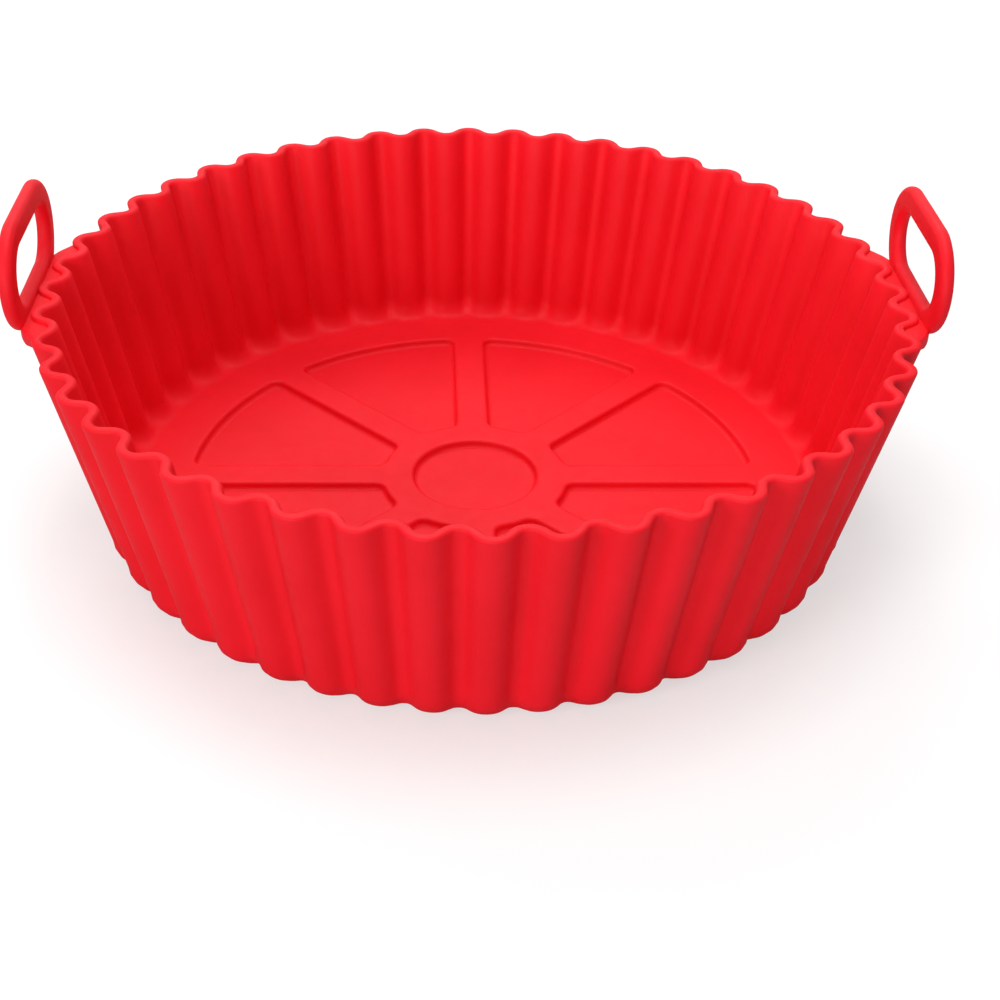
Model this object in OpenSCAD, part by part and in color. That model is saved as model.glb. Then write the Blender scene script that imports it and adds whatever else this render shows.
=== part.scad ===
// Round air fryer liner of moulded silicone: a flat floor with raised spokes, a fluted wall that
// flares to the rim, and two upright loop handles on opposite sides.
// Millimetres, Z up, origin at the centre of the underside, handles on the X axis.

/* [Body] */
// Outside diameter across the flute crests at the rim
rim_d = 200; // [150:1:260]
// Height of the rim above the table
body_h = 54.5; // [38:0.5:90]
// How far the wall leans out from the foot corner to the rim, per side
flare = 10.5; // [3:0.5:20]
// Thickness of the fluted wall
wall = 2.3; // [1.6:0.1:3]
// Rounding of the foot corner on the outside
foot_round = 8; // [3:0.5:10]
// Rounding between the floor and the wall on the inside
floor_round = 6; // [3:0.5:10]
// Bevel along both edges of the rim
rim_edge = 0.6; // [0.2:0.1:0.7]

/* [Flutes] */
// Number of flutes around the wall
flutes = 48; // [32:4:60]
// Depth of a flute at the rim, crest to valley
flute_depth = 3.8; // [1:0.1:4.5]
// Depth of a flute where the wall meets the foot corner
foot_flute = 3; // [0.5:0.1:4]
// Depth of a flute on the table line
ground_flute = 1.2; // [0:0.1:2]
// How square the wave is, zero being a plain sine
flute_square = 0.8; // [0:0.1:2]

/* [Floor] */
// Thickness of the floor under the sunk panels
floor_t = 2; // [1.4:0.1:4]
// Height of the spokes above the panels
relief_h = 1.8; // [0.6:0.1:3]
// Number of sunk panels, each between two spokes
panels = 8; // [4:1:10]
// Width of a spoke
spoke_w = 7.5; // [3:0.5:9]
// Width of the plain border outside the panels
border_w = 11.5; // [4:0.5:16]
// Radius of the sunk hub disc
hub_r = 15.5; // [10:0.5:20]
// Width of the raised ring around the hub disc
hub_ring_w = 7; // [3:0.5:10]
// Rounding of the panel corners
panel_corner = 3; // [0.5:0.5:3.5]

/* [Handles] */
// Length of a handle along the rim
handle_l = 44.5; // [44:0.5:70]
// Height of a handle above the rim
handle_rise = 20.5; // [17:0.5:30]
// How far a handle reaches down the wall below the rim
handle_drop = 4.5; // [4:0.5:10]
// Width of the handle strap
strap_w = 6; // [4:0.5:7.5]
// Thickness of the handle strap
strap_t = 3.2; // [2:0.2:3.8]
// Distance from the crest circle of the rim out to the middle of the strap
handle_out = 1; // [0:0.5:3]

/* [Hidden] */

rim_r = rim_d / 2;
// points around one flute and around the whole wall
flute_pts = 8;
ring_pts = flutes * flute_pts;
floor_z = floor_t + relief_h;
inner_z = floor_z + floor_round;
// turn between the points of a long arc, in degrees, and steps of a small corner
arc_step = 3;
corner_steps = 6;
// small turn over which the direction of the wavy line is measured, in degrees
tangent_step = 0.02;
// how far the web behind a loop stays above the bottom of the loop and below the rim
web_shy = 0.3;
// part of the half length of a loop over which its web is straight
web_straight = 0.8;
// how much higher the underside of the web is at its ends than in the middle
web_taper = 1.5;

// crest radius and flute depth of the middle of the wall at height z
function lean(z) = (body_h - z) / (body_h - foot_round);
function crest_r(z) = rim_r - wall / 2 - flare * lean(z);
function depth_at(z) = flute_depth + (foot_flute - flute_depth) * lean(z);

// wave of the flutes, 1 on a crest and -1 in a valley
function wave(a) =
    let (s = cos(flutes * a))
    s * sqrt((1 + flute_square) / (1 + flute_square * s * s));

// point of the wavy line with crest radius r and flute depth d at angle a
function line_at(a, r, d) = (r - d / 2 * (1 - wave(a))) * [cos(a), sin(a)];

// the same point moved out by t, square to the line
function skin_at(a, r, d, t) =
    let (
        along = line_at(a + tangent_step, r, d) - line_at(a - tangent_step, r, d),
        out = [along[1], -along[0]] / norm(along)
    )
    line_at(a, r, d) + t * out;

function ring_angle(i) = 360 * i / ring_pts;

// one closed ring of points: row = [crest radius, height, flute depth, distance out]
function ring_of(row) = [
    for (i = [0 : ring_pts - 1])
        let (p = skin_at(ring_angle(i), row[0], row[2], row[3]))
        [p[0], p[1], row[1]]
];

// outside: round the foot corner from the table to the wall
function foot_row(t) = [
    crest_r(foot_round) - foot_round * (1 - sin(t)),
    foot_round * (1 - cos(t)),
    ground_flute + (foot_flute - ground_flute) * t / 90,
    wall / 2
];

// inside: round the floor corner from the wall to the floor, where the flutes die out
function floor_row(t) = [
    crest_r(inner_z) - floor_round * (1 - sin(t)),
    inner_z - floor_round * cos(t),
    depth_at(inner_z) * sin(t),
    -wall / 2
];

rows = [
    foot_row(0),
    foot_row(35),
    foot_row(65),
    foot_row(90),
    [crest_r(body_h - rim_edge), body_h - rim_edge, flute_depth, wall / 2],
    [crest_r(body_h), body_h, flute_depth, wall / 2 - rim_edge],
    [crest_r(body_h), body_h, flute_depth, rim_edge - wall / 2],
    [crest_r(body_h - rim_edge), body_h - rim_edge, flute_depth, -wall / 2],
    floor_row(90),
    floor_row(62),
    floor_row(32),
    floor_row(0)
];
last = len(rows) - 1;
floor_r = crest_r(inner_z) - floor_round - wall / 2;
panel_out_r = floor_r - border_w;
panel_in_r = hub_r + hub_ring_w;

// fluted cup with a plain floor, as one closed skin
module cup() {
    skin = [for (row = rows) each ring_of(row)];
    under = len(skin);
    over = under + 1;
    polyhedron(
        points = concat(skin, [[0, 0, 0], [0, 0, floor_z]]),
        faces = concat(
            [
                for (j = [0 : last - 1], i = [0 : ring_pts - 1])
                    let (k = (i + 1) % ring_pts, a = j * ring_pts, b = a + ring_pts)
                    each [[a + i, b + i, b + k], [a + i, b + k, a + k]]
            ],
            [for (i = [0 : ring_pts - 1]) [under, i, (i + 1) % ring_pts]],
            [
                for (i = [0 : ring_pts - 1])
                    let (a = last * ring_pts)
                    [over, a + (i + 1) % ring_pts, a + i]
            ]
        ),
        convexity = 10
    );
}

// points on an arc about the point c, from angle a to angle b in n steps
function arc(c, r, a, b, n) = [
    for (i = [0 : n])
        let (t = a + (b - a) * i / n)
        c + r * [cos(t), sin(t)]
];

// an arc about the origin without its two end points, which its neighbours already have
function open_arc(r, a, b) =
    let (n = ceil(abs(b - a) / arc_step))
    [
        for (i = [1 : n - 1])
            let (t = a + (b - a) * i / n)
            r * [cos(t), sin(t)]
    ];

// corner circles of a panel lie this far from the middle line of the spoke
corner_y = spoke_w / 2 + panel_corner;

// angle from the spoke to the centre of a corner circle that lies d from the hub
function corner_angle(d) = asin(corner_y / d);

function turned(p, a) = [p[0] * cos(a) - p[1] * sin(a), p[0] * sin(a) + p[1] * cos(a)];

// outline of one sunk panel, between two spokes, with rounded corners
module panel_outline() {
    half = 180 / panels;
    in_d = panel_in_r + panel_corner;
    out_d = panel_out_r - panel_corner;
    in_a = corner_angle(in_d);
    out_a = corner_angle(out_d);
    in_c = in_d * [cos(in_a), sin(in_a)];
    out_c = out_d * [cos(out_a), sin(out_a)];
    // one side of the panel, drawn with the spoke on the X axis
    side = concat(
        arc(in_c, panel_corner, in_a + 180, 270, corner_steps),
        arc(out_c, panel_corner, -90, out_a, corner_steps)
    );
    low = [for (p = side) turned(p, -half)];
    high = [for (i = [len(low) - 1 : -1 : 0]) [low[i][0], -low[i][1]]];
    polygon(concat(
        low,
        open_arc(panel_out_r, out_a - half, half - out_a),
        high,
        open_arc(panel_in_r, half - in_a, in_a - half)
    ));
}

// everything that is sunk into the floor
module floor_relief() {
    translate([0, 0, floor_t]) {
        for (i = [0 : panels - 1])
            rotate([0, 0, (i + 0.5) * 360 / panels])
                linear_extrude(height = relief_h + 1) panel_outline();
        cylinder(h = relief_h + 1, r = hub_r, $fn = 96);
    }
}

handle_h = handle_rise + handle_drop;
handle_x = rim_r + handle_out;
handle_z = body_h + handle_rise - handle_h / 2;
bend_r = (handle_h - strap_w) / 2;
bar_l = handle_l - handle_h;

// cross section of the strap: flat with round edges
module strap_section() {
    square([strap_w - strap_t, strap_t], center = true);
    for (side = [-1, 1])
        translate([side * (strap_w - strap_t) / 2, 0])
            circle(d = strap_t, $fn = 32);
}

// upright loop in the plane of Y and Z, centred on the origin
module loop() {
    rotate([90, 0, 90]) {
        for (turn = [0, 180])
            rotate([0, 0, turn]) {
                translate([bar_l / 2, 0, 0])
                    rotate([0, 0, -90])
                        rotate_extrude(angle = 180, $fn = 96)
                            translate([bend_r, 0]) strap_section();
                translate([-bar_l / 2, bend_r, 0])
                    rotate([90, 0, 90])
                        linear_extrude(height = bar_l) strap_section();
            }
    }
}

// web that fills the flute valleys behind the lower bar of a loop, from the middle of the wall
// out to the middle of the strap; its ends run back to the crests beyond the loop
module web() {
    half_l = handle_l / 2;
    web_flutes = ceil(asin(half_l / rim_r) * flutes / 360);
    web_a = web_flutes * 360 / flutes;
    steps = 2 * web_flutes * flute_pts;
    top_z = body_h - rim_edge - web_shy;
    low_z = body_h - handle_drop + web_shy;
    straight_y = web_straight * half_l;
    end_r = crest_r(low_z) + wall / 2 - web_shy;
    end_y = end_r * sin(web_a);
    end_x = end_r * cos(web_a);
    angles = [for (i = [0 : steps]) (i / steps * 2 - 1) * web_a];
    // 0 along the straight part, rising to 1 at the ends
    function turn_in(a) =
        max(0, (end_r * abs(sin(a)) - straight_y) / (end_y - straight_y));
    function low_at(a) = low_z + web_taper * pow(turn_in(a), 2);
    function on_wall(a, z) =
        let (p = line_at(a, crest_r(z), depth_at(z))) [p[0], p[1], z];
    function outside(a, z) = [
        handle_x - turn_in(a) * (handle_x - end_x),
        end_r * sin(a),
        z
    ];
    n = steps + 1;
    polyhedron(
        points = concat(
            [for (a = angles) on_wall(a, low_at(a))],
            [for (a = angles) outside(a, low_at(a))],
            [for (a = angles) outside(a, top_z)],
            [for (a = angles) on_wall(a, top_z)]
        ),
        faces = concat(
            [
                for (r = [0 : 3], i = [0 : steps - 1])
                    let (a = r * n, b = ((r + 1) % 4) * n)
                    each [[a + i, b + i, b + i + 1], [a + i, b + i + 1, a + i + 1]]
            ],
            [
                [0, 3 * n, 2 * n],
                [0, 2 * n, n],
                [steps, n + steps, 2 * n + steps],
                [steps, 2 * n + steps, 3 * n + steps]
            ]
        )
    );
}

module handle() {
    translate([handle_x, 0, handle_z]) loop();
    web();
}

module liner() {
    color([0.86, 0.1, 0.13]) {
        difference() {
            cup();
            floor_relief();
        }
        for (turn = [0, 180])
            rotate([0, 0, turn]) handle();
    }
}

liner();
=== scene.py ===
# %% [markdown]
# # A fluted silicone liner, step by step
# The object is one moulded piece of red silicone: a flat floor with raised spokes, a fluted wall
# that flares to the rim, and two upright loops to lift it by. The CAD part gives its sizes. Here
# each region is modelled again with finer curves and rounder edges, then dressed in a satin
# silicone material, and shown on a pale table in soft light.

# %% Load the frame
import math

import bmesh
import bpy
from mathutils import Matrix, Vector


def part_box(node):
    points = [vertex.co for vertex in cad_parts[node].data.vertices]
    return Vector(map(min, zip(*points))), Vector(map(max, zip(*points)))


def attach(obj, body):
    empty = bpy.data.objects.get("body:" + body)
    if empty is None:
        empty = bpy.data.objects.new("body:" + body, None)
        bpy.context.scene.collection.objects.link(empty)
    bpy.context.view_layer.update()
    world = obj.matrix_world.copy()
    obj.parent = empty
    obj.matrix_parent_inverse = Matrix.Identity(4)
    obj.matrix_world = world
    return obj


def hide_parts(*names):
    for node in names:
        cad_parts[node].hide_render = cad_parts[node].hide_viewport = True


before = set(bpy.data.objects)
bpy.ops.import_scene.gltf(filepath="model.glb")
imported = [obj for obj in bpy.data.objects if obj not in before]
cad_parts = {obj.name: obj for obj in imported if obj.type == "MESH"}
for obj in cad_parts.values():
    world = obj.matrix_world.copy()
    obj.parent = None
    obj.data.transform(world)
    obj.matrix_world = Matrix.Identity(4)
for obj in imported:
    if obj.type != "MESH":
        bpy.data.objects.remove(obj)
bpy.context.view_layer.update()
low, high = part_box("liner")
print("the liner stands at", round(low.z * 1000, 2), "mm")

# %% [markdown]
# ## Sizes
# The rim, the loops and the height come from the frame, so that the dressed part fills the same
# space. The small sizes of the mould, such as the wall and the flutes, are named here in metres.
# A flute is one wave around the wall, and 24 points draw one wave smoothly. The other counts say in
# how many steps a rounding or a circle is made. The last values are limits for picking points and
# faces, and the angle up to which an edge shades smoothly.

# %% Sizes from the frame and sizes of the mould
rim_radius = high.y
strap_thickness = 0.0032
loop_x = high.x - strap_thickness / 2
loop_rise = 0.0205
loop_drop = 0.0045
body_height = high.z - loop_rise

flutes = 48
points_per_flute = 24
flute_square = 0.8
rim_depth = 0.0038
foot_depth = 0.003
ground_depth = 0.0012

wall = 0.0023
flare = 0.0105
foot_round = 0.008
floor_round = 0.006
rim_round = 0.0008
round_steps = 6
wall_cuts = 5

floor_height = 0.0038
relief = 0.0018
inner_foot = floor_height + floor_round

panels = 8
spoke_width = 0.0075
border_width = 0.0115
hub_radius = 0.0155
hub_ring = 0.007
panel_corner = 0.003
lip_round = 0.0008
flat_strip = 0.0004
edge_steps = 4
circle_points = 96

loop_length = 0.0445
strap_width = 0.006
loop_height = loop_rise + loop_drop
loop_z = body_height - loop_drop + loop_height / 2
bar_half = (loop_length - loop_height) / 2

near = 0.00001
in_skin = 0.5
facing = 0.9
smooth_angle = math.radians(35)


def crest_radius(z):
    """Crest radius of the middle of the wall at height z."""
    lean = (body_height - z) / (body_height - foot_round)
    return rim_radius - wall / 2 - flare * lean


def flute_depth_at(z):
    """Depth of a flute from crest to valley at height z."""
    lean = (body_height - z) / (body_height - foot_round)
    return rim_depth + (foot_depth - rim_depth) * lean


floor_radius = crest_radius(inner_foot) - floor_round - wall / 2
print("rim radius", round(rim_radius * 1000, 2), "mm, wall", round(body_height * 1000, 2), "mm high")
print("floor radius", round(floor_radius * 1000, 2), "mm, loop centre", round(loop_z * 1000, 2), "mm up")

# %% [markdown]
# ## Selection helpers
# An operator acts on what is selected. So each step first clears the selection, then picks its
# points, edges or faces by their place, and says how many it found.

# %% Helpers that select by place


def deselect_all():
    if bpy.context.object and bpy.context.object.mode != "OBJECT":
        bpy.ops.object.mode_set(mode="OBJECT")
    bpy.ops.object.select_all(action="DESELECT")


def activate(piece):
    deselect_all()
    piece.select_set(True)
    bpy.context.view_layer.objects.active = piece


def start_editing(piece):
    activate(piece)
    bpy.ops.object.mode_set(mode="EDIT")
    bpy.ops.mesh.select_mode(type="VERT")
    bpy.ops.mesh.select_all(action="DESELECT")


def stop_editing():
    bpy.ops.object.mode_set(mode="OBJECT")


def edited_mesh():
    return bmesh.from_edit_mesh(bpy.context.object.data)


def show_selection(mesh):
    mesh.select_flush_mode()
    bmesh.update_edit_mesh(bpy.context.object.data)


def pick_points(test):
    bpy.ops.mesh.select_mode(type="VERT")
    mesh = edited_mesh()
    for vertex in mesh.verts:
        vertex.select = bool(test(vertex.co))
    show_selection(mesh)
    return sum(vertex.select for vertex in mesh.verts)


def pick_edges(test):
    bpy.ops.mesh.select_mode(type="EDGE")
    mesh = edited_mesh()
    for edge in mesh.edges:
        edge.select_set(bool(test(edge)))
    show_selection(mesh)
    return sum(edge.select for edge in mesh.edges)


def pick_faces(test):
    bpy.ops.mesh.select_mode(type="FACE")
    mesh = edited_mesh()
    mesh.normal_update()
    for face in mesh.faces:
        face.select_set(bool(test(face)))
    show_selection(mesh)
    return sum(face.select for face in mesh.faces)


def apply_modifiers(piece):
    activate(piece)
    for modifier in list(piece.modifiers):
        bpy.ops.object.modifier_apply(modifier=modifier.name)


def span(co):
    """Distance of a point from the upright axis."""
    return math.hypot(co.x, co.y)


# %% [markdown]
# ## The fluted wall
# The mould presses the same wave all around, so the wall starts as one round line at the foot.
# The points that lie at the same place in the wave are pulled towards the axis by one scale. This
# is what a maker does by hand on one flute and then repeats. The wavy line is extruded once, from
# foot to rim, because the wall of the mould is straight between them.

# %% Draw the foot line, press the flutes and raise the wall


def wave(turn):
    """The wave of a flute, 1 on a crest and -1 in a valley, a little squarer than a sine."""
    s = math.cos(turn)
    return s * math.sqrt((1 + flute_square) / (1 + flute_square * s * s))


def press_flutes(z, depth, crest):
    """Pulls the line at height z towards the axis, one set of like points after another."""
    step = 2 * math.pi / points_per_flute
    for k in range(1, points_per_flute // 2 + 1):
        share = 1 - depth / 2 * (1 - wave(k * step)) / crest

        def in_set(co):
            turn = (math.atan2(co.y, co.x) * flutes) % (2 * math.pi)
            turn = min(turn, 2 * math.pi - turn)
            return abs(co.z - z) < near and abs(turn - k * step) < step / 4

        pick_points(in_set)
        bpy.ops.transform.resize(value=(share, share, 1), center_override=(0, 0, z))


deselect_all()
bpy.ops.mesh.primitive_circle_add(
    vertices=flutes * points_per_flute,
    radius=crest_radius(foot_round),
    fill_type="NOTHING",
    location=(0, 0, foot_round),
)
liner = bpy.context.object
liner.name = "silicone_liner"
bpy.ops.object.transform_apply(location=True, rotation=True, scale=True)

start_editing(liner)
press_flutes(foot_round, foot_depth, crest_radius(foot_round))
bpy.ops.mesh.select_all(action="SELECT")
wall_rise = body_height - foot_round
bpy.ops.mesh.extrude_edges_move(TRANSFORM_OT_translate={"value": (0, 0, wall_rise)})
rim_scale = crest_radius(body_height) / crest_radius(foot_round)
rim_centre = (0, 0, body_height)
bpy.ops.transform.resize(value=(rim_scale, rim_scale, 1), center_override=rim_centre)
press_flutes(body_height, rim_depth - foot_depth * rim_scale, crest_radius(body_height))
bpy.ops.mesh.select_all(action="SELECT")
bpy.ops.mesh.normals_make_consistent(inside=False)
stop_editing()
print("wall line:", len(liner.data.vertices), "points in", flutes, "flutes")

# %% [markdown]
# ## A plug for later
# The loops are joined to the wall by a web that fills the valleys behind them. The web has to end
# inside the wall, so a closed copy of the middle of the wall is kept to cut it with.

# %% Keep a closed copy of the middle of the wall
activate(liner)
bpy.ops.object.duplicate()
plug = bpy.context.object
plug.name = "wall_plug"
start_editing(plug)
for level in (foot_round, body_height):
    pick_points(lambda co: abs(co.z - level) < near)
    bpy.ops.mesh.edge_face_add()
bpy.ops.mesh.select_all(action="SELECT")
bpy.ops.mesh.normals_make_consistent(inside=False)
stop_editing()
print("plug:", len(plug.data.polygons), "faces")

# %% [markdown]
# ## Wall thickness and a rounded rim
# Silicone is moulded to an even wall, so the line is thickened to both sides. The new inner skin
# goes into a vertex group, which later steps use to tell the two skins apart: in radius they
# overlap, because a flute is deeper than the wall is thick. Both ends are made flat again, and the
# two edges of the rim are rounded, as on anything that has to leave a mould.

# %% Thicken the wall and round the rim
inner_skin = "inner skin"
liner.vertex_groups.new(name=inner_skin)
activate(liner)
bpy.ops.object.modifier_add(type="SOLIDIFY")
thickness = liner.modifiers[-1]
thickness.thickness = wall
thickness.offset = 0
thickness.use_even_offset = True
thickness.use_quality_normals = True
thickness.shell_vertex_group = inner_skin
apply_modifiers(liner)

start_editing(liner)
middle = (foot_round + body_height) / 2
pick_points(lambda co: co.z < middle)
bpy.ops.transform.resize(value=(1, 1, 0), center_override=(0, 0, foot_round))
pick_points(lambda co: co.z > middle)
bpy.ops.transform.resize(value=(1, 1, 0), center_override=rim_centre)

opened = pick_faces(lambda face: max(abs(v.co.z - foot_round) for v in face.verts) < near)
bpy.ops.mesh.delete(type="ONLY_FACE")
pick_edges(lambda edge: edge.is_wire)
bpy.ops.mesh.delete(type="EDGE")

upright = pick_edges(lambda edge: abs(edge.verts[0].co.z - edge.verts[1].co.z) > wall_rise / 2)
bpy.ops.mesh.subdivide(number_cuts=wall_cuts)


def on_rim(edge):
    """True for an edge that runs along the rim and not across it."""
    short = 0.6 * wall
    flat = all(abs(v.co.z - body_height) < near for v in edge.verts)
    return flat and edge.calc_length() < short


rim_edges = pick_edges(on_rim)
bpy.ops.mesh.bevel(offset=rim_round, segments=edge_steps, affect="EDGES")
stop_editing()
print("opened", opened, "faces below, split", upright, "uprights, rounded", rim_edges, "rim edges")

# %% [markdown]
# ## Foot and floor rounding
# From the wall down, the skins go their own ways. The outer one rolls under into the flat foot,
# and its flutes run out to a shallow wave where they touch the table. The inner one rolls onto the
# floor, and its flutes fade to a plain circle there. Each row is the row before, extruded, made
# rounder with To Sphere and scaled to its radius. That takes the flutes down evenly.

# %% Extrude the rows of the foot and of the floor rounding


def next_row(z, crest, depth):
    """Extrudes the selected ring to a new height, crest radius and flute depth."""
    ring = [v.co for v in edited_mesh().verts if v.select]
    rise = z - ring[0].z
    spans = [span(co) for co in ring]
    mean = sum(spans) / len(spans)
    top, deep = max(spans), max(spans) - min(spans)
    bpy.ops.mesh.extrude_edges_move(TRANSFORM_OT_translate={"value": (0, 0, rise)})
    if deep > near:
        scale = (crest - (top - mean) * depth / deep) / mean
        rounder = 1 - depth / (deep * scale)
        bpy.ops.transform.tosphere(value=max(rounder, 0), center_override=(0, 0, z))
    reached = max(span(v.co) for v in edited_mesh().verts if v.select)
    share = crest / reached
    bpy.ops.transform.resize(value=(share, share, 1), center_override=(0, 0, z))


def pick_ring(z, inner):
    """Selects the ring at height z of the outer or the inner skin."""
    bpy.ops.mesh.select_mode(type="VERT")
    mesh = edited_mesh()
    groups = mesh.verts.layers.deform.active
    group = liner.vertex_groups[inner_skin].index
    for vertex in mesh.verts:
        in_group = vertex[groups].get(group, 0) > in_skin
        vertex.select = abs(vertex.co.z - z) < near and in_group == inner
    show_selection(mesh)
    return sum(vertex.select for vertex in mesh.verts)


start_editing(liner)
quarter = [math.radians(90 * step / round_steps) for step in range(round_steps - 1, -1, -1)]
foot_crest = crest_radius(foot_round) + wall / 2
outer_points = pick_ring(foot_round, False)
for turn in quarter:
    next_row(
        foot_round * (1 - math.cos(turn)),
        foot_crest - foot_round * (1 - math.sin(turn)),
        ground_depth + (foot_depth - ground_depth) * turn / math.radians(90),
    )
ground_crest = foot_crest - foot_round
next_row(0, ground_crest - flat_strip, ground_depth)
bpy.ops.mesh.edge_face_add()

inner_points = pick_ring(foot_round, True)
inner_crest = crest_radius(inner_foot) - wall / 2
share = inner_crest / (crest_radius(foot_round) - wall / 2)
lift = (0, 0, inner_foot - foot_round)
bpy.ops.transform.translate(value=lift)
bpy.ops.transform.resize(value=(share, share, 1), center_override=(0, 0, inner_foot))
for turn in quarter:
    next_row(
        inner_foot - floor_round * math.cos(turn),
        inner_crest - floor_round * (1 - math.sin(turn)),
        flute_depth_at(inner_foot) * math.sin(turn),
    )
next_row(floor_height, inner_crest - floor_round - flat_strip, 0)
stop_editing()
print("foot from", outer_points, "points, floor rounding from", inner_points)

# %% [markdown]
# ## Sunk panels and spokes
# The spokes aren't laid on: the eight panels and the hub are sunk, and the floor left between them
# makes the spokes, the ring around the hub and the border. One panel outline is drawn as with a
# pen. The Spin tool makes each arc from its last point and Extrude makes the straight sides. Inset
# then sinks the face in small steps, over a rounded lip and into a rounded bottom edge, so that
# the relief catches light as moulded rubber does.

# %% Draw one panel outline


def arc_about(centre, degrees, steps):
    """Draws an arc from the selected point, counter-clockwise for a positive angle."""
    bpy.ops.mesh.spin(
        steps=steps,
        angle=-math.radians(degrees),
        center=(centre.x, centre.y, floor_height),
        axis=(0, 0, 1),
    )


def line_by(offset):
    move = {"value": (offset.x, offset.y, 0)}
    bpy.ops.mesh.extrude_vertices_move(TRANSFORM_OT_translate=move)


def polar(radius, degrees):
    angle = math.radians(degrees)
    return Vector((radius * math.cos(angle), radius * math.sin(angle)))


def start_pen(piece_name, start, z):
    """Adds a piece with one point at the start of an outline, selected and ready to extrude."""
    seed_size = 0.01
    deselect_all()
    bpy.ops.mesh.primitive_plane_add(size=seed_size, location=(0, 0, z))
    piece = bpy.context.object
    piece.name = piece_name
    bpy.ops.object.transform_apply(location=True, rotation=True, scale=True)
    start_editing(piece)
    bpy.ops.mesh.select_all(action="SELECT")
    bpy.ops.mesh.merge(type="CENTER")
    bpy.ops.transform.translate(value=(start.x, start.y, 0))
    return piece


sector = 360 / panels
corner_round = panel_corner + lip_round
panel_outer = floor_radius - border_width
panel_inner = hub_radius + hub_ring
corner_side = spoke_width / 2 + panel_corner
inner_reach = panel_inner + panel_corner
outer_reach = panel_outer - panel_corner
inner_turn = math.degrees(math.asin(corner_side / inner_reach))
outer_turn = math.degrees(math.asin(corner_side / outer_reach))
corners = [
    polar(inner_reach, inner_turn),
    polar(outer_reach, outer_turn),
    polar(outer_reach, sector - outer_turn),
    polar(inner_reach, sector - inner_turn),
]

floor_relief = start_pen("floor_relief", polar(inner_reach - corner_round, inner_turn), floor_height)
centre = Vector((0, 0))
inner_corner_steps, inner_arc_steps = 8, 10
outer_corner_steps, outer_arc_steps = 12, 40
arc_about(corners[0], 90 - inner_turn, inner_corner_steps)
line_by(corners[1] - corners[0])
arc_about(corners[1], 90 + outer_turn, outer_corner_steps)
arc_about(centre, sector - 2 * outer_turn, outer_arc_steps)
arc_about(corners[2], 90 + outer_turn, outer_corner_steps)
line_by(corners[3] - corners[2])
arc_about(corners[3], 90 - inner_turn, inner_corner_steps)
arc_about(centre, 2 * inner_turn - sector, inner_arc_steps)
bpy.ops.mesh.select_all(action="SELECT")
bpy.ops.mesh.remove_doubles(threshold=near)
outline_points = len(edited_mesh().verts)
bpy.ops.mesh.edge_face_add()
stop_editing()
print("panel outline:", outline_points, "points,", len(floor_relief.data.polygons), "face")

# %% Sink the panels and the hub


def face_up():
    """Turns the only face so that it looks up, which Inset needs to sink it."""
    mesh = edited_mesh()
    mesh.normal_update()
    for face in mesh.faces:
        face.select_set(True)
        if face.normal.z < 0:
            face.normal_flip()
    show_selection(mesh)


def sink_face():
    """Insets the selected face over a rounded lip, then into a rounded bottom edge."""
    bottom_round = relief - lip_round
    bpy.ops.mesh.inset(thickness=flat_strip, depth=0)
    for step in range(edge_steps):
        a = math.radians(90 * step / edge_steps)
        b = math.radians(90 * (step + 1) / edge_steps)
        inward = lip_round * (math.sin(b) - math.sin(a))
        down = lip_round * (math.cos(a) - math.cos(b))
        bpy.ops.mesh.inset(thickness=inward, depth=-down)
    for step in range(edge_steps):
        a = math.radians(90 * step / edge_steps)
        b = math.radians(90 * (step + 1) / edge_steps)
        inward = bottom_round * (math.cos(a) - math.cos(b))
        down = bottom_round * (math.sin(b) - math.sin(a))
        bpy.ops.mesh.inset(thickness=inward, depth=-down)
    bpy.ops.mesh.inset(thickness=flat_strip, depth=0)


start_editing(floor_relief)
bpy.ops.mesh.select_mode(type="FACE")
face_up()
sink_face()
bpy.ops.mesh.select_all(action="SELECT")
bpy.ops.mesh.spin(
    steps=panels - 1,
    angle=-math.radians(sector) * (panels - 1),
    dupli=True,
    center=(0, 0, 0),
    axis=(0, 0, 1),
)
stop_editing()

deselect_all()
bpy.ops.mesh.primitive_circle_add(
    vertices=circle_points,
    radius=hub_radius + lip_round,
    fill_type="NGON",
    location=(0, 0, floor_height),
)
hub = bpy.context.object
hub.name = "hub_recess"
bpy.ops.object.transform_apply(location=True, rotation=True, scale=True)
start_editing(hub)
bpy.ops.mesh.select_mode(type="FACE")
face_up()
sink_face()
stop_editing()
print("relief:", len(floor_relief.data.polygons), "faces in", panels, "panels")
lowest = min(v.co.z for v in floor_relief.data.vertices)
print("panel bottom at", round(lowest * 1000, 2), "mm")

# %% [markdown]
# The raised floor is what is left. All the outlines are open edges at floor height now, so one
# Fill closes the surface between them.

# %% Join the relief to the liner and fill the raised floor
deselect_all()
for piece in (hub, floor_relief, liner):
    piece.select_set(True)
bpy.context.view_layer.objects.active = liner
bpy.ops.object.join()


def open_at_floor(edge):
    level = all(abs(v.co.z - floor_height) < near for v in edge.verts)
    return level and len(edge.link_faces) < 2


start_editing(liner)
outline_edges = pick_edges(open_at_floor)
bpy.ops.mesh.fill(use_beauty=True)
bpy.ops.mesh.select_all(action="SELECT")
bpy.ops.mesh.normals_make_consistent(inside=False)
loose = pick_edges(lambda edge: len(edge.link_faces) != 2)
stop_editing()
print("filled between", outline_edges, "edges, open edges left:", loose)
print("liner:", len(liner.data.polygons), "faces")

# %% [markdown]
# ## Lifting loops
# Each loop is a flat strap bent into an upright stadium, standing at the rim with its lower bar
# against the wall. It starts as a disc whose halves are moved apart, is extruded to the strap's
# thickness, and its middle is bridged away. The four edges of the strap are then rounded almost
# to a half circle, which is how the strap feels between the fingers.

# %% Shape one loop


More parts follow.
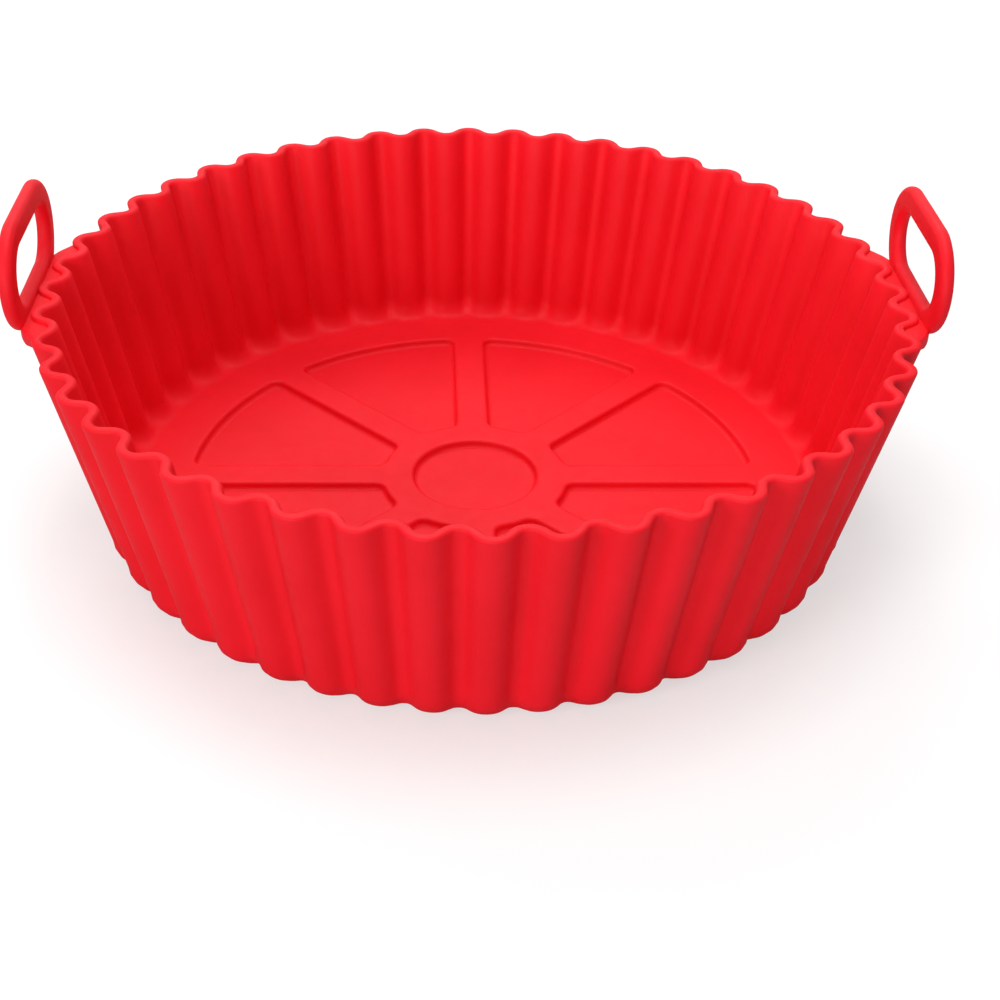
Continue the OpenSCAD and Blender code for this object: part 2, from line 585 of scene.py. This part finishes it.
def stadium(piece_name, radius, x):
    """Adds a filled disc standing across the X axis and moves its halves apart."""
    deselect_all()
    bpy.ops.mesh.primitive_circle_add(
        vertices=circle_points,
        radius=radius,
        fill_type="NGON",
        location=(x, 0, loop_z),
        rotation=(0, math.radians(90), 0),
    )
    piece = bpy.context.object
    piece.name = piece_name
    bpy.ops.object.transform_apply(location=True, rotation=True, scale=True)
    start_editing(piece)
    for side in (-1, 1):
        pick_points(lambda co: co.y * side > near)
        bpy.ops.transform.translate(value=(0, side * bar_half, 0))
    return piece


def from_spine(co):
    """Distance of a point from the middle line of the stadium."""
    return math.hypot(max(abs(co.y) - bar_half, 0), co.z - loop_z)


outer_bend = loop_height / 2
inner_bend = outer_bend - strap_width
loop = stadium("lifting_loop", outer_bend, loop_x - strap_thickness / 2)
bpy.ops.mesh.select_all(action="SELECT")
thick = (strap_thickness, 0, 0)
bpy.ops.mesh.extrude_region_move(TRANSFORM_OT_translate={"value": thick})
bpy.ops.mesh.select_all(action="SELECT")
bpy.ops.mesh.normals_make_consistent(inside=False)
pick_faces(lambda face: abs(face.normal.x) > facing)
bpy.ops.mesh.inset(thickness=strap_width, depth=0)
bpy.ops.mesh.bridge_edge_loops()


def along_strap(edge):
    """True for an edge that runs along one of the four corners of the strap."""
    reach = [from_spine(v.co) for v in edge.verts]
    outside = all(abs(r - outer_bend) < near for r in reach)
    inside = all(abs(r - inner_bend) < near for r in reach)
    across = abs(edge.verts[0].co.x - edge.verts[1].co.x)
    return (outside or inside) and across < near


strap_edges = pick_edges(along_strap)
strap_flat = 0.0002
strap_round = (strap_thickness - strap_flat) / 2
bpy.ops.mesh.bevel(offset=strap_round, segments=round_steps, affect="EDGES")
bpy.ops.mesh.select_all(action="SELECT")
bpy.ops.mesh.normals_make_consistent(inside=False)
stop_editing()
print("loop:", len(loop.data.polygons), "faces, rounded", strap_edges, "edges")

# %% [markdown]
# The web behind the lower bar fills two flutes on each side of its middle. It is drawn from above
# as a plate: straight behind the strap, then running back at both ends to the crests. The plate is
# extruded down to the bottom of the strap, its ends are lifted a little and its outer edges are
# rounded. The kept plug is taken out of it, so that it ends in the middle of the wall.

# %% Shape the web and cut it to the wall
web_shy = 0.0003
web_below_rim = 0.0009
web_top = body_height - web_below_rim
web_bottom = body_height - loop_drop + web_shy
web_round = 0.0007
web_lift = 0.0015
web_corner = 0.004
web_corner_steps = 8
root_depth = 0.012
straight_part = 0.8
straight_half = straight_part * loop_length / 2
web_flutes = 2
web_turn = web_flutes * 360 / flutes
web_end = polar(crest_radius(web_bottom) + wall / 2 - web_shy, web_turn)
web_root = polar(rim_radius - root_depth, web_turn)
web_pen = [
    Vector((web_root.x, -web_root.y)),
    Vector((web_end.x, -web_end.y)),
    Vector((loop_x, -straight_half)),
    Vector((loop_x, straight_half)),
    web_end,
    web_root,
]

web = start_pen("loop_web", web_pen[0], web_top)
for old, new in zip(web_pen, web_pen[1:]):
    line_by(new - old)
bpy.ops.mesh.select_all(action="SELECT")
bpy.ops.mesh.edge_face_add()
pick_points(lambda co: co.x > loop_x - near)
bpy.ops.mesh.bevel(offset=web_corner, segments=web_corner_steps, affect="VERTICES")
bpy.ops.mesh.select_all(action="SELECT")
down = {"value": (0, 0, web_bottom - web_top)}
bpy.ops.mesh.extrude_region_move(TRANSFORM_OT_translate=down)
end_start = straight_half + web_corner
pick_points(lambda co: co.z < web_bottom + near and abs(co.y) > end_start)
bpy.ops.transform.translate(value=(0, 0, web_lift))
bpy.ops.mesh.select_all(action="SELECT")
bpy.ops.mesh.normals_make_consistent(inside=False)


def along_web(edge):
    """True for an edge that runs along the outer side of the web."""
    outside = all(v.co.x > web_end.x - near for v in edge.verts)
    upright = abs(edge.verts[0].co.z - edge.verts[1].co.z) > web_lift + near
    return outside and not upright


web_edges = pick_edges(along_web)
bpy.ops.mesh.bevel(offset=web_round, segments=edge_steps, affect="EDGES")
stop_editing()
print("web:", len(web.data.polygons), "faces, rounded", web_edges, "edges")

# %% Cut the web with the plug
activate(web)
bpy.ops.object.modifier_add(type="BOOLEAN")
cutter = web.modifiers[-1]
cutter.operation = "DIFFERENCE"
cutter.solver = "EXACT"
cutter.object = plug
apply_modifiers(web)
activate(plug)
bpy.ops.object.delete()
print("web after the cut:", len(web.data.polygons), "faces")

# %% [markdown]
# Loop and web are the same on the far side, turned half way around. The pair is united with the
# wall, because the object is one piece of silicone and has no seams there.

# %% Unite the loops with the wall


def unite(piece, added):
    activate(piece)
    bpy.ops.object.modifier_add(type="BOOLEAN")
    union = piece.modifiers[-1]
    union.operation = "UNION"
    union.solver = "EXACT"
    union.object = added
    apply_modifiers(piece)
    activate(added)
    bpy.ops.object.delete()


unite(loop, web)
activate(loop)
bpy.ops.object.duplicate()
bpy.ops.transform.resize(value=(-1, -1, 1), center_override=(0, 0, 0))
bpy.ops.object.transform_apply(location=True, rotation=True, scale=True)
loop.select_set(True)
bpy.context.view_layer.objects.active = loop
bpy.ops.object.join()
unite(liner, loop)

start_editing(liner)
bpy.ops.mesh.select_all(action="SELECT")
bpy.ops.mesh.remove_doubles(threshold=near / 10)
bpy.ops.mesh.normals_make_consistent(inside=False)
loose = pick_edges(lambda edge: len(edge.link_faces) != 2)
stop_editing()
activate(liner)
bpy.ops.object.shade_smooth_by_angle(angle=smooth_angle)
print("one piece:", len(liner.data.polygons), "faces, open edges:", loose)

# %% [markdown]
# ## Satin silicone
# Moulded silicone is one colour all through. What the eye reads as silicone is in the surface: a
# broad soft gloss, a very fine grain from the mould, patches that are a little shinier where hands
# have been, and a trace of light that enters the thin wall and comes out deeper red. The patterns
# are in object coordinates, so they keep their size in millimetres.

# %% Silicone material


def link(tree, source, target):
    tree.links.new(source, target)


def noise_at(tree, coordinates, per_metre, detail):
    noise = tree.nodes.new("ShaderNodeTexNoise")
    noise.inputs["Scale"].default_value = per_metre
    noise.inputs["Detail"].default_value = detail
    link(tree, coordinates, noise.inputs["Vector"])
    return noise.outputs["Fac"]


def spread(tree, value, low_value, high_value):
    """Maps the middle part of a noise onto a range."""
    noise_low, noise_high = 0.3, 0.7
    ramp = tree.nodes.new("ShaderNodeMapRange")
    ramp.inputs["From Min"].default_value = noise_low
    ramp.inputs["From Max"].default_value = noise_high
    ramp.inputs["To Min"].default_value = low_value
    ramp.inputs["To Max"].default_value = high_value
    link(tree, value, ramp.inputs["Value"])
    return ramp.outputs["Result"]


deep_red = (0.77, 0.007, 0.015, 1)
clear_red = (0.84, 0.010, 0.021, 1)
patches_per_metre, patch_detail = 45, 3
marks_per_metre, mark_detail = 320, 4
grains_per_metre, grain_detail = 2600, 2
least_clear, most_clear = 0.2, 1
satin_low, satin_high = 0.5, 0.58
grain_height = 0.00003
grain_strength = 0.25
silicone_ior = 1.41
gloss = 0.21
light_entering = 0.12
light_reach = (0.004, 0.0012, 0.0008)

silicone = bpy.data.materials.new("red_silicone")
silicone.use_nodes = True
tree = silicone.node_tree
shader = tree.nodes["Principled BSDF"]
place = tree.nodes.new("ShaderNodeTexCoord").outputs["Object"]

patches = noise_at(tree, place, patches_per_metre, patch_detail)
colour = tree.nodes.new("ShaderNodeMix")
colour.data_type = "RGBA"
colour.inputs["A"].default_value = deep_red
colour.inputs["B"].default_value = clear_red
link(tree, spread(tree, patches, least_clear, most_clear), colour.inputs["Factor"])
link(tree, colour.outputs["Result"], shader.inputs["Base Color"])

handled = noise_at(tree, place, marks_per_metre, mark_detail)
link(tree, spread(tree, handled, satin_low, satin_high), shader.inputs["Roughness"])

grain = noise_at(tree, place, grains_per_metre, grain_detail)
bump = tree.nodes.new("ShaderNodeBump")
bump.inputs["Strength"].default_value = grain_strength
bump.inputs["Distance"].default_value = grain_height
link(tree, grain, bump.inputs["Height"])
link(tree, bump.outputs["Normal"], shader.inputs["Normal"])

shader.inputs["IOR"].default_value = silicone_ior
shader.inputs["Specular IOR Level"].default_value = gloss
shader.inputs["Subsurface Weight"].default_value = light_entering
shader.inputs["Subsurface Radius"].default_value = light_reach
shader.inputs["Subsurface Scale"].default_value = 1
liner.data.materials.clear()
liner.data.materials.append(silicone)
print("material nodes:", len(tree.nodes))

# %% [markdown]
# ## Table, light and camera
# The photo shows a bright tent: a white ground with a tight grey shadow round the foot, a floor
# lit from above, and flutes that are bright on their left side. So there is a broad lamp
# overhead, which also makes the shadow that fades outwards from under the flared wall, and smaller
# ones around it: low in front and at the front left for the flutes, and two weaker ones behind,
# whose gloss makes the floor paler than the wall.
# The ground is a pale grey that adds light of its own for the camera only, so that it reads as
# white paper, takes the shadow and throws little light back on the wall. Further out, where the
# lamps don't reach, it glows more, so that it stays white up to the horizon. The world is white
# where the camera, glass and gloss see it, and weaker as a light.

# %% Table
table_size = 6
table_gap = 0.00005
pale_grey = (0.45, 0.45, 0.45, 1)
near_glow = 0.575
far_glow = 0.87
lit_radius = 0.3
dim_radius = 1.2
paper_roughness = 0.9
deselect_all()
bpy.ops.mesh.primitive_plane_add(size=table_size, location=(0, 0, -table_gap))
table = bpy.context.object
table.name = "table"
paper = bpy.data.materials.new("white_paper")
paper.use_nodes = True
tree = paper.node_tree
shader = tree.nodes["Principled BSDF"]
shader.inputs["Base Color"].default_value = pale_grey
shader.inputs["Roughness"].default_value = paper_roughness
shader.inputs["Specular IOR Level"].default_value = 0
shader.inputs["Emission Color"].default_value = (1, 1, 1, 1)
spot = tree.nodes.new("ShaderNodeTexCoord").outputs["Object"]
reach = tree.nodes.new("ShaderNodeVectorMath")
reach.operation = "LENGTH"
link(tree, spot, reach.inputs["Vector"])
rising = tree.nodes.new("ShaderNodeMapRange")
rising.interpolation_type = "SMOOTHSTEP"
rising.inputs["From Min"].default_value = lit_radius
rising.inputs["From Max"].default_value = dim_radius
rising.inputs["To Min"].default_value = near_glow
rising.inputs["To Max"].default_value = far_glow
link(tree, reach.outputs["Value"], rising.inputs["Value"])
seen = tree.nodes.new("ShaderNodeLightPath").outputs["Is Camera Ray"]
glow = tree.nodes.new("ShaderNodeMath")
glow.operation = "MULTIPLY"
link(tree, seen, glow.inputs[0])
link(tree, rising.outputs["Result"], glow.inputs[1])
link(tree, glow.outputs["Value"], shader.inputs["Emission Strength"])
table.data.materials.append(paper)
print("table:", table_size, "m wide,", len(tree.nodes), "material nodes")

# %% Lamps
lamp_distance = 1.1
overhead_width = 0.6
side_width = 0.4
# each lamp: name, turn and rise in degrees, watts, width
lamps = [
    ("top_lamp", 0, 90, 5.9, overhead_width),
    ("back_lamp", 90, 50, 2.8, side_width),
    ("back_left_lamp", 135, 50, 1.4, side_width),
    ("front_left_lamp", 225, 25, 3.3, side_width),
    ("front_lamp", 262, 8, 4.4, side_width),
]
aim_height = 0.02
target = Vector((0, 0, aim_height))
for name, turn, rise, watts, width in lamps:
    data = bpy.data.lights.new(name, "AREA")
    data.shape = "DISK"
    data.size = width
    data.energy = watts
    lamp = bpy.data.objects.new(name, data)
    bpy.context.collection.objects.link(lamp)
    level = polar(lamp_distance * math.cos(math.radians(rise)), turn)
    up = lamp_distance * math.sin(math.radians(rise))
    lamp.location = (level.x, level.y, up)
    lamp.rotation_euler = (target - lamp.location).to_track_quat("-Z", "Y").to_euler()
print("lamps:", len(lamps))

# %% White surroundings
soft_light = 0.3
world = bpy.data.worlds.new("white_tent")
bpy.context.scene.world = world
world.use_nodes = True
tree = world.node_tree
tent = tree.nodes["Background"]
rays = tree.nodes.new("ShaderNodeLightPath")
see_through = tree.nodes.new("ShaderNodeMath")
see_through.operation = "MAXIMUM"
link(tree, rays.outputs["Is Camera Ray"], see_through.inputs[0])
link(tree, rays.outputs["Is Transmission Ray"], see_through.inputs[1])
shown = tree.nodes.new("ShaderNodeMath")
shown.operation = "MAXIMUM"
link(tree, see_through.outputs["Value"], shown.inputs[0])
link(tree, rays.outputs["Is Glossy Ray"], shown.inputs[1])
strength = tree.nodes.new("ShaderNodeMapRange")
strength.inputs["To Min"].default_value = soft_light
strength.inputs["To Max"].default_value = 1
link(tree, shown.outputs["Value"], strength.inputs["Value"])
tent.inputs["Color"].default_value = (1, 1, 1, 1)
link(tree, strength.outputs["Result"], tent.inputs["Strength"])
print("world nodes:", len(tree.nodes))

# %% Camera
camera_place = Vector((-0.0126, -0.3315, 0.2209))
turned_right = math.radians(3.272)
looking_down = math.radians(34.133)
rolled = math.radians(1.772)
lens_mm = 57.83
sensor_mm = 36
nearest_seen = 0.01
camera_data = bpy.data.cameras.new("camera")
camera_data.lens = lens_mm
camera_data.sensor_width = sensor_mm
camera_data.clip_start = nearest_seen
camera = bpy.data.objects.new("camera", camera_data)
bpy.context.collection.objects.link(camera)
heading = Matrix.Rotation(-turned_right, 4, "Z")
tilt = Matrix.Rotation(math.radians(90) - looking_down, 4, "X")
roll = Matrix.Rotation(rolled, 4, "Z")
camera.matrix_world = Matrix.Translation(camera_place) @ heading @ tilt @ roll
bpy.context.scene.camera = camera
bpy.context.scene.view_settings.view_transform = "Standard"
print("camera at", [round(v * 1000, 1) for v in camera_place], "mm")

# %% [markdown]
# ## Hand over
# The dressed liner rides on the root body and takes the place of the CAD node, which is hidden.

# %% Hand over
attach(liner, "root")
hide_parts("liner")
